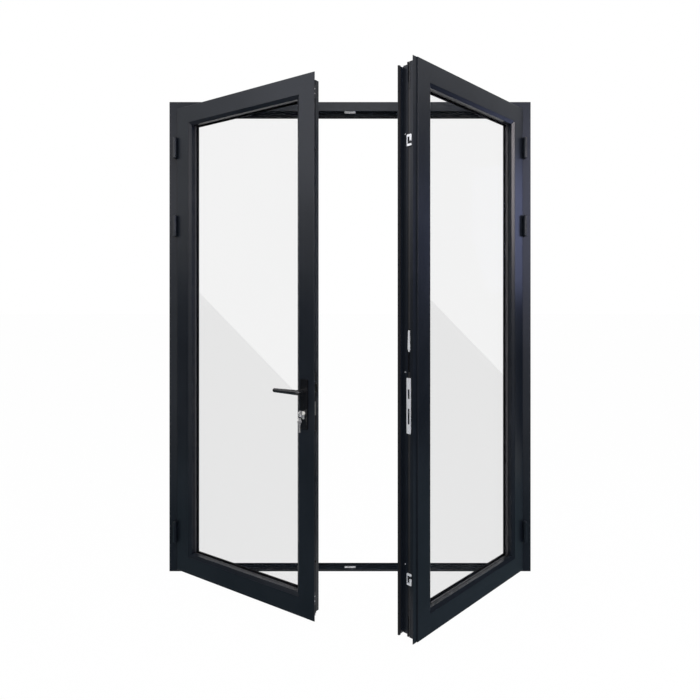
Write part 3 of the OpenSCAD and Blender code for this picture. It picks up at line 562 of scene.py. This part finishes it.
def makeRodGuides():  # blocks that fill the groove above and below the lock rods
    work = bmesh.new()
    for middle in rodGuides["middles"]:
        corners = []
        for z in (middle - rodGuides["height"] / 2, middle + rodGuides["height"] / 2):
            for v in (depth - rodGuides["width"] / 2, depth + rodGuides["width"] / 2):
                for e in (rodGuides["face"], rodGuides["floor"]):
                    corners.append(work.verts.new(activeEdge(e, v, z)))
        for face in ((0, 1, 3, 2), (4, 6, 7, 5), (0, 4, 5, 1), (2, 3, 7, 6), (0, 2, 6, 4), (1, 5, 7, 3)):
            work.faces.new([corners[k] for k in face])
    bmesh.ops.bevel(work, geom=list(work.edges), offset=rodGuides["round"], segments=2,
                    affect="EDGES", profile=0.5)
    bmesh.ops.recalc_face_normals(work, faces=work.faces)
    mesh = bpy.data.meshes.new("rodGuides")
    work.to_mesh(mesh)
    work.free()
    piece = newPiece("rodGuides", mesh)
    mesh.materials.append(finishes["caps"])
    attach(piece, "active_leaf")


makeRodGuides()
print("rod guides made")

brushes = {
    "inset": 0.0205,
    "back": 0.037,
    "halfWidth": 0.003,
    "carrierHeight": 0.0062,
    "lipDrop": 0.0006,
    "lipShare": 0.72,  # these three are shares of half the width
    "slotShare": 0.5,
    "rowShare": 0.62,
    "slotDepth": 0.003,
    "bristlePitch": 0.0016,
    "rows": 4,
    "bristleRadius": 0.00035,
    "rootShare": 0.6,
    "lean": 0.10,
    "seed": 7,
}


def makeBristleTree():
    tree, inlet, outlet = newTree("bristles", [
        ("Length", "NodeSocketFloat", 0.012),
        ("Radius", "NodeSocketFloat", brushes["bristleRadius"]),
        ("Lean", "NodeSocketFloat", brushes["lean"]),
        ("Seed", "NodeSocketInt", brushes["seed"]),
        ("Finish", "NodeSocketMaterial", None),
    ])
    link = tree.links.new
    hair = tree.nodes.new("GeometryNodeMeshCone")
    hair.inputs["Vertices"].default_value = 4
    link(mathNode(tree, "MULTIPLY", inlet.outputs["Radius"], brushes["rootShare"]), hair.inputs["Radius Bottom"])
    link(inlet.outputs["Radius"], hair.inputs["Radius Top"])
    link(inlet.outputs["Length"], hair.inputs["Depth"])
    drop = tree.nodes.new("GeometryNodeTransform")
    fall = tree.nodes.new("ShaderNodeCombineXYZ")
    link(mathNode(tree, "MULTIPLY", inlet.outputs["Length"], -1.0), fall.inputs["Z"])
    link(hair.outputs["Mesh"], drop.inputs["Geometry"])
    link(fall.outputs["Vector"], drop.inputs["Translation"])
    lean = tree.nodes.new("FunctionNodeRandomValue")
    lean.data_type = "FLOAT_VECTOR"
    most = tree.nodes.new("ShaderNodeCombineXYZ")
    least = tree.nodes.new("ShaderNodeCombineXYZ")
    for axis in ("X", "Y"):
        link(inlet.outputs["Lean"], most.inputs[axis])
        link(mathNode(tree, "MULTIPLY", inlet.outputs["Lean"], -1.0), least.inputs[axis])
    link(least.outputs["Vector"], lean.inputs["Min"])
    link(most.outputs["Vector"], lean.inputs["Max"])
    link(inlet.outputs["Seed"], lean.inputs["Seed"])
    turn = tree.nodes.new("FunctionNodeEulerToRotation")
    link(lean.outputs["Value"], turn.inputs["Euler"])
    setOnPoints(tree, inlet, outlet, drop.outputs["Geometry"], turn.outputs["Rotation"])
    return tree


bristleTree = makeBristleTree()


def outward(mesh):
    work = bmesh.new()
    work.from_mesh(mesh)
    bmesh.ops.recalc_face_normals(work, faces=work.faces)
    work.to_mesh(mesh)
    work.free()


def bristles(name, onLeaf, start, end, root):
    half, rows = brushes["halfWidth"], brushes["rows"]
    first = brushes["back"] - half * brushes["rowShare"]
    count = int((end - start) / brushes["bristlePitch"])
    places = []
    for row in range(rows):
        v = first + row * half * 2 * brushes["rowShare"] / (rows - 1)
        for index in range(count):
            u = start + (index + 0.5 + 0.5 * (row % 2)) * (end - start) / (count + 1)  # every other row is staggered
            places.append(onLeaf(u, v, root))
    return pointCloud(name, places)


def brushCarrier(name, onLeaf, start, end, root, high):  # a channel with rolled lips that grips the bristles
    half, lip, slot = brushes["halfWidth"], brushes["lipShare"], brushes["slotShare"]
    rolled, slotTop = root - brushes["lipDrop"], root + brushes["slotDepth"]
    near = [(-half, high), (-half, root), (-half * lip, rolled), (-half * slot, root), (-half * slot, slotTop)]
    outline = near + [(-dv, z) for dv, z in reversed(near)]
    n = len(outline)
    verts = [onLeaf(u, brushes["back"] + dv, z) for u in (start, end) for dv, z in outline]
    faces = [(k, (k + 1) % n, n + (k + 1) % n, n + k) for k in range(n)]
    faces += [tuple(range(n - 1, -1, -1)), tuple(range(n, 2 * n))]
    mesh = newMesh(name, verts, faces)
    outward(mesh)
    mesh.materials.append(finishes["caps"])
    return newPiece(name, mesh)


def brushSeal(name, body, node, onLeaf):
    low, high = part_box(node)[0][2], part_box(node)[1][2]
    start, end = brushes["inset"], doors["leafWidth"] - brushes["inset"]
    root = high - brushes["carrierHeight"]
    hairs = bristles(name, onLeaf, start, end, root)
    bakeTree(hairs, bristleTree, {
        "Length": root - low,
        "Radius": brushes["bristleRadius"],
        "Lean": brushes["lean"],
        "Seed": brushes["seed"],
        "Finish": finishes["brush"],
    })
    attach(hairs, body)
    carrier = brushCarrier(name + "Carrier", onLeaf, start, end, root, high)
    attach(carrier, body)
    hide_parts(node)


brushSeal("activeBrush", "active_leaf", "active_brush", onActive)
brushSeal("passiveBrush", "passive_leaf", "passive_brush", onPassive)
print("brush seals made")

studio = {
    "floorColour": (0.86, 0.86, 0.86, 1),
    "floorReach": 300.0,
    "floorDrop": 0.0005,
    "floorRoughness": 0.9,
    "floorGlow": 0.985,
    # grey the floor shows through glass: painted shade for the darker part of the panes
    "paintedPaneShade": 0.893,
    "skyLight": 0.50,
}


def seenDirectly(tree, ray):  # 1 where the camera, glass or gloss looks
    seen = mathNode(tree, "MAXIMUM", ray.outputs["Is Camera Ray"], ray.outputs["Is Transmission Ray"])
    return mathNode(tree, "MAXIMUM", seen, ray.outputs["Is Glossy Ray"])


def makeFloor():
    reach = studio["floorReach"]
    corners = [(-reach, -reach, 0), (reach, -reach, 0), (reach, reach, 0), (-reach, reach, 0)]
    mesh = newMesh("floor", corners, [(0, 1, 2, 3)])
    floor = newPiece("floor", mesh)
    floor.location.z = -studio["floorDrop"]
    mat, tree, out = newMaterial("paleFloor")
    shader = addShader(tree, out)
    shader.inputs["Base Color"].default_value = studio["floorColour"]
    shader.inputs["Roughness"].default_value = studio["floorRoughness"]
    shader.inputs["Specular IOR Level"].default_value = 0.0
    glow = tree.nodes.new("ShaderNodeEmission")
    ray = tree.nodes.new("ShaderNodeLightPath")
    # seen through glass the floor glows less: painted shade in the panes' reflection
    shade = mathNode(tree, "MULTIPLY", ray.outputs["Is Transmission Ray"], studio["paintedPaneShade"] - 1.0)
    tree.links.new(mathNode(tree, "ADD", shade, 1.0), glow.inputs["Strength"])
    mix = tree.nodes.new("ShaderNodeMixShader")
    seen = seenDirectly(tree, ray)
    tree.links.new(mathNode(tree, "MULTIPLY", seen, studio["floorGlow"]), mix.inputs["Fac"])
    tree.links.new(shader.outputs["BSDF"], mix.inputs[1])
    tree.links.new(glow.outputs["Emission"], mix.inputs[2])
    tree.links.new(mix.outputs["Shader"], out.inputs["Surface"])
    mesh.materials.append(mat)


def makeWorld():
    world = bpy.data.worlds.new("studioWorld")
    world.use_nodes = True
    tree = world.node_tree
    tree.nodes.clear()
    out = tree.nodes.new("ShaderNodeOutputWorld")
    back = tree.nodes.new("ShaderNodeBackground")
    back.inputs["Color"].default_value = (1, 1, 1, 1)
    seen = seenDirectly(tree, tree.nodes.new("ShaderNodeLightPath"))
    tree.links.new(addRange(tree, seen, studio["skyLight"], 1.0), back.inputs["Strength"])
    tree.links.new(back.outputs["Background"], out.inputs["Surface"])
    bpy.context.scene.world = world


lamps = {
    "frontLamp": {"place": (0.1, -3.7, 2.3), "target": (0, -0.2, 1.4), "size": (1.0, 2.8), "power": 36.0},
    "windowLamp": {"place": (1.95, -3.5, 2.2), "target": (0.83, 0, 1.5), "size": (0.8, 1.9), "power": 38.0,
                   "colour": (0.62, 0.64, 1.0)},
    "overheadLamp": {"place": (0, -1.7, 4.2), "target": (0, -0.3, 0.6), "size": (2.4, 1.2), "power": 40.0},
    "highLamp": {"place": (-3.0, -1.35, 3.0), "target": (0, -0.9, 2.0), "size": (1.0, 1.6), "power": 12.5,
                 "colour": (0.86, 0.88, 1.0)},
    "farLamp": {"place": (2.9, 0.62, 1.86), "target": (0.75, -0.1, 1.65), "size": (0.6, 1.05), "power": 8.5,
                "colour": (0.52, 0.58, 1.0)},
    "leftEdgeLamp": {"place": (-2.5, -2.5, 2.45), "target": (-0.75, -0.1, 1.8), "size": (0.6, 1.0), "power": 38.0,
                     "colour": (1.0, 0.92, 0.94), "lights": False},
    "rightEdgeLamp": {"place": (2.95, -2.1, 2.45), "target": (0.75, -0.1, 1.8), "size": (0.8, 1.3), "power": 105.0,
                      "colour": (1.0, 0.92, 0.94), "lights": False},
    "leftLamp": {"place": (-3.2, -1.7, 2.2), "target": (0, -0.4, 1.3), "size": (1.2, 2.0), "power": 14.0,
                 "shows": False},
    "rightLamp": {"place": (3.2, -1.0, 2.2), "target": (0, -0.4, 1.3), "size": (1.2, 2.0), "power": 14.0,
                  "shows": False},
}


def areaLamp(name, settings):
    lamp = bpy.data.lights.new(name, "AREA")
    lamp.shape = "RECTANGLE"
    lamp.size, lamp.size_y = settings["size"]
    lamp.energy = settings["power"]
    lamp.color = settings.get("colour", (1, 1, 1))
    piece = newPiece(name, lamp)
    piece.visible_camera = False
    piece.visible_transmission = False
    piece.visible_glossy = settings.get("shows", True)  # seen in the coat's gloss
    piece.visible_diffuse = settings.get("lights", True)
    piece.location = settings["place"]
    aim = Vector(settings["target"]) - Vector(settings["place"])
    piece.rotation_euler = aim.to_track_quat("-Z", "Y").to_euler()


makeFloor()
makeWorld()
for name, settings in lamps.items():
    areaLamp(name, settings)

view = {
    "place": (0.0194, -2.797, 1.262),
    "lens": 30.4,
    "sensor": 36.0,
    "shift": (-0.006, -0.0694),
    "reach": 60.0,
    "pixels": 700,
}

lens = bpy.data.cameras.new("photoCamera")
lens.lens = view["lens"]
lens.sensor_width = view["sensor"]
lens.shift_x, lens.shift_y = view["shift"]
lens.clip_end = view["reach"]
camera = newPiece("photoCamera", lens)
camera.location = view["place"]
camera.rotation_euler = (math.radians(90), 0, 0)
bpy.context.scene.camera = camera
bpy.context.scene.view_settings.view_transform = "Standard"

# Glowing cards seen only through the panes: the white ones paint the lighter side of each pane's diagonal
# reflection, the grey corner ones paint its darker side as shade.
paintedPaneReflections = {
    "behind": 4.0,
    "left": [(208.1, 301.4), (303.0, 301.4), (303.0, 399.8)],  # in pixels of the view
    "right": [(432.4, 301.4), (508.0, 301.4), (508.0, 379.9)],
    "leftCorner": [(190.0, 282.7), (190.0, 306.0), (212.5, 306.0)],  # painted shade over the far edge of the floor
    "rightCorner": [(428.0, 296.8), (428.0, 306.0), (436.8, 306.0)],
}


def stageCard(name, verts, colour, seenBy):  # a glowing card that only one kind of ray sees and that lights nothing; it paints reflection and shade
    mesh = newMesh(name, verts, [tuple(range(len(verts)))])
    mat, tree, out = newMaterial(name)
    glow = tree.nodes.new("ShaderNodeEmission")
    glow.inputs["Color"].default_value = (*colour, 1)
    tree.links.new(glow.outputs["Emission"], out.inputs["Surface"])
    mesh.materials.append(mat)
    card = newPiece(name, mesh)
    card.visible_camera = card.visible_diffuse = card.visible_shadow = False
    card.visible_glossy = seenBy == "gloss"
    card.visible_transmission = seenBy == "glass"


def behindPanes(px, py):  # a pixel's place on the plane of the cards that paint the panes' reflection
    wide, (x, y, z) = view["pixels"], view["place"]
    away = paintedPaneReflections["behind"] / (view["lens"] / view["sensor"] * wide)
    across = px - wide / 2 + view["shift"][0] * wide
    below = py - wide / 2 - view["shift"][1] * wide
    return (x + across * away, y + paintedPaneReflections["behind"], z - below * away)


for side in ("left", "right"):
    stageCard(side + "PaintedPaneHighlight", [behindPanes(*corner) for corner in paintedPaneReflections[side]], (1, 1, 1), "glass")
    stageCard(side + "PaintedCornerShade", [behindPanes(*corner) for corner in paintedPaneReflections[side + "Corner"]],
              (studio["paintedPaneShade"],) * 3, "glass")

# Glowing cards seen only in gloss that light nothing: painted reflections, dark ones that darken the coat's sheen
# and bluish ones on the floor that tint its lower parts blue.
paintedReflectionCards = {
    "paintedDarkReflection": (0.012, 0.020, 0.030),
    # bluish glow of the floor cards: a painted reflection
    "floorColour": (0.20, 0.28, 0.32),
    "leftFlag": [(-3.0, -1.9, 0.0), (-3.0, 0.1, 0.0), (-3.0, 0.1, 1.5), (-3.0, -1.9, 1.5)],
    "rightFlag": [(3.0, -2.0, 0.0), (3.0, 1.2, 0.0), (3.0, 1.2, 2.2), (3.0, 0.3, 2.9), (3.0, -2.0, 2.9)],
    "leftFloorBlueReflection": [(-3.0, -1.9, 0.002), (-0.137, -1.9, 0.002), (-0.137, -0.49, 0.002), (-0.814, -0.05, 0.002),
                  (-0.92, 0.3, 0.002), (-3.0, 0.3, 0.002)],
    "rightFloorBlueReflection": [(3.0, -2.0, 0.002), (0.25, -2.0, 0.002), (0.25, -0.63, 0.002), (0.81, -0.05, 0.002),
                   (0.92, 0.6, 0.002), (3.0, 0.6, 0.002)],
    "backFlag": [(-1.5, 2.2, 0.0), (1.5, 2.2, 0.0), (1.5, 2.2, 2.4), (-1.5, 2.2, 2.4)],
    "backFloor": [(-1.5, 0.35, 0.003), (1.5, 0.35, 0.003), (1.5, 2.2, 0.003), (-1.5, 2.2, 0.003)],
}
for card in ("leftFlag", "rightFlag", "backFlag", "backFloor"):
    stageCard(card, paintedReflectionCards[card], paintedReflectionCards["paintedDarkReflection"], "gloss")
for card in ("leftFloorBlueReflection", "rightFloorBlueReflection"):
    stageCard(card, paintedReflectionCards[card], paintedReflectionCards["floorColour"], "gloss")
print("studio ready")
